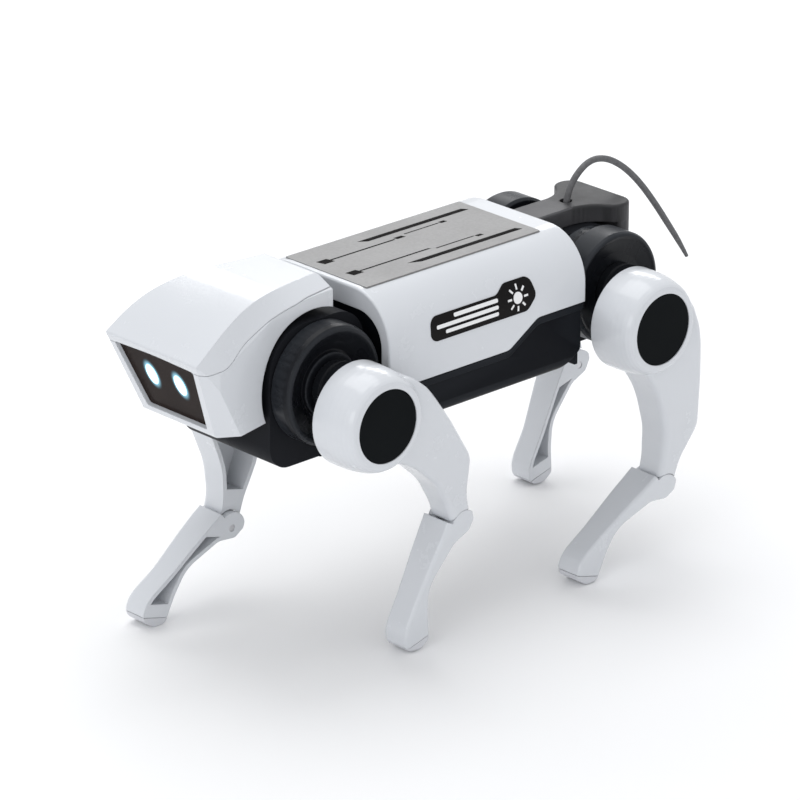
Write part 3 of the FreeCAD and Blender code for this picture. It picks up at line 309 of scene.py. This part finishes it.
def make_materials():
    # Each edge colour below is a painted highlight along that part's convex edges.
    return {
        "white_shell": plastic("white_gloss", (0.655, 0.675, 0.705), 0.24, 0.05, 0.012, 0.03, 1800.0,
                               soft=0.0005, coat=0.35),
        "foot_sole": plastic("white_sole", (0.62, 0.63, 0.66), 0.42, 0.06, 0.03, 0.10, 2200.0),
        "panel_grey": panel_material(),
        "panel_traces": plastic("trace_ink", (0.006, 0.005, 0.005), 0.55, 0.06, 0.1, 0.05, 3000.0,
                                soft=0.00005, ior=1.2, specular=0.1),
        "badge_black": plastic("badge_ink", (0.009, 0.008, 0.008), 0.42, 0.05, 0.1, 0.04, 2600.0,
                               soft=0.0001, ior=1.25, specular=0.2),
        "badge_white": plastic("badge_white_ink", (0.86, 0.86, 0.86), 0.38, 0.05, 0.02, 0.03, 2600.0,
                               soft=0.00005),
        "black_tray": plastic("tray_black", (0.0050, 0.0060, 0.0085), 0.36, 0.06, 0.12, 0.05, 2400.0,
                              edge_highlight=(0.016, 0.018, 0.022), soft=0.0004, ior=1.22, specular=0.2),
        "face_dark": face_material(),
        "eye_glow": eye_material(),
        "board_green": board_material(),
        "cell_wrap": cell_material(),
        "steel": brushed_metal("steel", (0.62, 0.62, 0.64), 0.3),
        "gear_plastic": plastic("nylon", (0.78, 0.76, 0.70), 0.42, 0.05, 0.03, 0.05),
        "black_drum": plastic("drum_black", (0.0080, 0.0090, 0.0115), 0.30, 0.07, 0.12, 0.08, 2300.0,
                              edge_highlight=(0.045, 0.050, 0.058), soft=0.0004, ior=1.33, specular=0.3),
        "black_hub": plastic("hub_black", (0.0085, 0.0095, 0.0115), 0.24, 0.05, 0.1, 0.03, 2400.0,
                             soft=0.0004, ior=1.33, specular=0.3),
        "black_cap": plastic("cap_black", (0.0050, 0.0062, 0.0070), 0.46, 0.05, 0.1, 0.05, 2600.0,
                             soft=0.0002, ior=1.2, specular=0.15),
        "black_gearbox": plastic("gearbox_black", (0.0075, 0.0080, 0.0095), 0.46, 0.07, 0.12, 0.14, 2100.0,
                                 edge_highlight=(0.014, 0.015, 0.018), ior=1.22, specular=0.15),
        "dark_cover": plastic("cover_dark", (0.034, 0.034, 0.036), 0.44, 0.06, 0.08, 0.16, 2000.0,
                              edge_highlight=(0.075, 0.075, 0.08), soft=0.0006, specular=0.3),
        "tail_grey": tail_material(),
    }


def paint_cad_nodes(materials):
    """Give every CAD node the finish of its material slot."""
    slots = {entry["node"]: entry["material_slot"] for entry in frame["record"]["subparts"]}
    for name, piece in NODES.items():
        material = materials[slots[name]]
        for holder in piece.material_slots:
            holder.material = material


# ---- the tail ------------------------------------------------------------------------------
TAIL_DIAMETER = 0.0023
TAIL_TAPER = (0.55, 0.86, 0.97)     # relative thickness, from the tip inward
# (y, z) points in millimetres, and the step from there to the robot's own frame
TAIL_SHIFT = (1.27, -1.93)
TAIL_ROUTE = [
    (69.0, 118.4), (69.2, 124.2), (73.4, 130.6), (80.2, 134.6), (88.0, 133.6), (96.2, 128.8),
    (104.4, 121.2), (112.4, 111.4), (119.8, 101.2), (125.4, 93.4), (129.2, 87.4)]


def make_tail(material):
    curve = bpy.data.curves.new("wire_tail", "CURVE")
    curve.dimensions = "3D"
    curve.resolution_u = 24
    curve.bevel_depth = TAIL_DIAMETER / 2
    curve.bevel_resolution = 6
    curve.use_fill_caps = True
    spline = curve.splines.new("NURBS")
    spline.points.add(len(TAIL_ROUTE) - 1)
    for point, (y, z) in zip(spline.points, TAIL_ROUTE):
        point.co = (0.0, (y + TAIL_SHIFT[0]) * MM, (z + TAIL_SHIFT[1]) * MM, 1.0)
    for back, radius in enumerate(TAIL_TAPER):
        spline.points[-1 - back].radius = radius
    spline.order_u = 3
    spline.use_endpoint_u = True
    curve.materials.append(material)
    piece = bpy.data.objects.new("wire_tail", curve)
    bpy.context.scene.collection.objects.link(piece)
    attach(piece, "robot_body")
    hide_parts("tail")
    return piece


# ---- stage, lights, camera --------------------------------------------------------------------
def make_stage():
    mesh = bpy.data.meshes.new("floor")
    build = bmesh.new()
    bmesh.ops.create_grid(build, x_segments=2, y_segments=2, size=6.0)
    build.to_mesh(mesh)
    build.free()
    floor = bpy.data.objects.new("floor", mesh)
    bpy.context.scene.collection.objects.link(floor)
    tree = Tree("pale_floor")
    tone = tree.span(tree.noise(2.0, 2.0), 0.0, 1.0)
    tree.feed(tree.mix(tone, (0.93, 0.93, 0.935), (0.95, 0.95, 0.95)), "Base Color")
    tree.set("Roughness", 0.85)
    mesh.materials.append(tree.material)


def area_light(name, place, aim, size, power, colour=(1, 1, 1)):
    data = bpy.data.lights.new(name, "AREA")
    data.shape = "RECTANGLE"
    data.size, data.size_y = size
    data.energy = power
    data.color = colour
    lamp = bpy.data.objects.new(name, data)
    bpy.context.scene.collection.objects.link(lamp)
    lamp.location = place
    direction = Vector(aim) - Vector(place)
    lamp.rotation_euler = direction.to_track_quat("-Z", "Y").to_euler()


def make_lights():
    world = bpy.data.worlds.new("studio")
    world.use_nodes = True
    background = world.node_tree.nodes["Background"]
    background.inputs["Color"].default_value = (0.97, 0.98, 1.0, 1.0)
    background.inputs["Strength"].default_value = 0.80
    bpy.context.scene.world = world
    middle = (0.0, 0.0, 0.08)
    area_light("top_softbox", (-0.25, 0.05, 1.1), middle, (0.8, 0.8), 4.0)
    area_light("front_fill", (0.4, -1.1, 0.5), middle, (0.7, 0.5), 2.0, (0.97, 0.98, 1.0))
    area_light("back_strip", (-0.8, 0.7, 0.7), middle, (0.9, 0.25), 2.5)


def make_camera():
    data = bpy.data.cameras.new("camera")
    data.sensor_width = SENSOR_MM
    data.lens = FOCAL_PIXELS * SENSOR_MM / FRAME_PIXELS
    data.clip_start = 0.05
    camera = bpy.data.objects.new("camera", data)
    bpy.context.scene.collection.objects.link(camera)
    outward = Vector((math.sin(CAMERA_AZIMUTH) * math.cos(CAMERA_ELEVATION),
                      -math.cos(CAMERA_AZIMUTH) * math.cos(CAMERA_ELEVATION),
                      math.sin(CAMERA_ELEVATION)))
    camera.location = CAMERA_TARGET + outward * CAMERA_DISTANCE
    camera.rotation_euler = (-outward).to_track_quat("-Z", "Y").to_euler()
    bpy.context.scene.camera = camera


bpy.context.scene.view_settings.view_transform = "Standard"
make_camera()
MATERIALS = make_materials()
make_tail(MATERIALS["tail_grey"])
paint_cad_nodes(MATERIALS)
make_stage()
make_lights()
